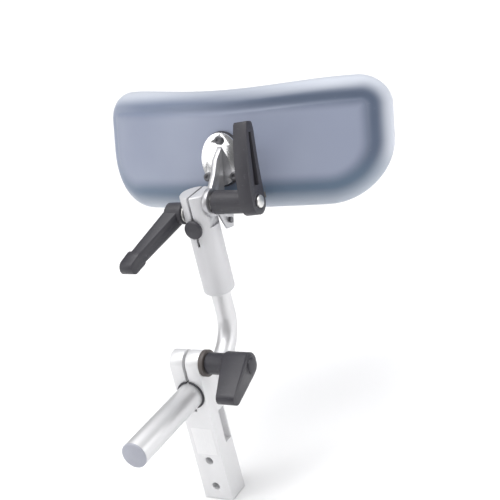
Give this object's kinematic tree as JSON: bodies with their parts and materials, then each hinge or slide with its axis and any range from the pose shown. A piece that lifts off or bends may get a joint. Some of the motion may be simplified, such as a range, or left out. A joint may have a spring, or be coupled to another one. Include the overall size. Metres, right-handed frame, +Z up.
{
  "type": "chair headrest attachment",
  "caption": "Wrap-round head pad on a tilting arm, carried by a cranked tube and a clamped depth tube on a mounting bar for the back of a chair.",
  "frame": {"origin": "centre of the two fixing holes, on the mounting bar's front face", "axes": "+X to the right seen from behind, +Y forwards to the head, +Z up along the mounting bar"},
  "size_m": [0.342, 0.3377, 0.3747],
  "materials": {
    "bar_aluminium": "satin, silver powder coat over cast aluminium",
    "tube_aluminium": "satin anodised tube",
    "bright_steel": "polished steel",
    "zinc_steel": "zinc plated steel",
    "black_nylon": "fine-grained black nylon with a faint sheen",
    "dark_nylon": "dark brown-grey nylon",
    "cap_grey": "blue-grey moulded plastic",
    "label_white": "blank white label",
    "pad_skin": "grey-blue integral-skin foam, semi-gloss",
    "core_board": "moulded core plate",
    "insert_brass": "turned brass"
  },
  "bodies": {
    "chair_bar": {"mounting_bar": "bar_aluminium", "blank_label": "label_white", "depth_bush": "black_nylon"},
    "depth_carrier": {"depth_tube": "tube_aluminium", "depth_tube_end_cap": "cap_grey", "tube_reducer": "tube_aluminium", "cranked_tube": "tube_aluminium", "tube_top_plug": "black_nylon"},
    "height_sleeve": {"upright_sleeve": "tube_aluminium", "sleeve_liner": "dark_nylon", "slit_button": "black_nylon"},
    "pad_unit": {"pad_arm": "bar_aluminium", "mounting_disc": "bright_steel", "disc_backing": "black_nylon", "disc_screws": "bright_steel", "pad_core_plate": "core_board", "pad_threaded_inserts": "insert_brass", "headrest_pad": "pad_skin", "arm_stop_screw": "bright_steel"},
    "tilt_stud": {"tilt_washer": "zinc_steel", "tilt_lever_insert": "zinc_steel", "tilt_lever_screw": "zinc_steel", "tilt_lever_spring": "bright_steel"},
    "tilt_handle": {"tilt_lever_handle": "black_nylon", "tilt_lever_cap": "bright_steel"},
    "height_stud": {"height_washer": "zinc_steel", "height_lever_insert": "zinc_steel", "height_lever_screw": "zinc_steel", "height_lever_spring": "bright_steel"},
    "height_handle": {"height_lever_handle": "black_nylon", "height_lever_button": "black_nylon"},
    "depth_stud": {"depth_collar": "dark_nylon", "depth_lever_insert": "zinc_steel", "depth_lever_screw": "zinc_steel", "depth_lever_spring": "bright_steel"},
    "depth_handle": {"depth_lever_handle": "black_nylon", "depth_lever_cap": "black_nylon"}
  },
  "joints": [
    {"name": "depth_slide", "type": "slide", "parent": "chair_bar", "child": "depth_carrier", "axis": [0, 1, 0], "range_m": [-0.012, 0.09]},
    {"name": "height_slide", "type": "slide", "parent": "depth_carrier", "child": "height_sleeve", "axis": [0, 0, 1], "range_m": [-0.01, 0.045]},
    {"name": "pad_tilt", "type": "hinge", "parent": "height_sleeve", "child": "pad_unit", "pos_m": [0, 0.065, 0.253], "axis": [1, 0, 0], "range_deg": [-8, 16]},
    {"name": "tilt_lever_turn", "type": "hinge", "parent": "height_sleeve", "child": "tilt_stud", "pos_m": [0, 0.065, 0.253], "axis": [1, 0, 0], "range_deg": [0, 90]},
    {"name": "height_lever_turn", "type": "hinge", "parent": "height_sleeve", "child": "height_stud", "pos_m": [0, 0.065, 0.242], "axis": [1, 0, 0], "range_deg": [-40, 30]},
    {"name": "depth_lever_turn", "type": "hinge", "parent": "chair_bar", "child": "depth_stud", "pos_m": [0, -0.0125, 0.12], "axis": [1, 0, 0], "range_deg": [-15, 60]},
    {"name": "tilt_lever_lift", "type": "slide", "parent": "tilt_stud", "child": "tilt_handle", "axis": [1, 0, 0], "range_m": [0, 0.003], "stiffness_N_per_m": 900, "springref_m": -0.002, "deforming": ["tilt_lever_spring"]},
    {"name": "height_lever_lift", "type": "slide", "parent": "height_stud", "child": "height_handle", "axis": [-1, 0, 0], "range_m": [0, 0.003], "stiffness_N_per_m": 900, "springref_m": -0.002, "deforming": ["height_lever_spring"]},
    {"name": "depth_lever_lift", "type": "slide", "parent": "depth_stud", "child": "depth_handle", "axis": [1, 0, 0], "range_m": [0, 0.003], "stiffness_N_per_m": 900, "springref_m": -0.002, "deforming": ["depth_lever_spring"]}
  ]
}
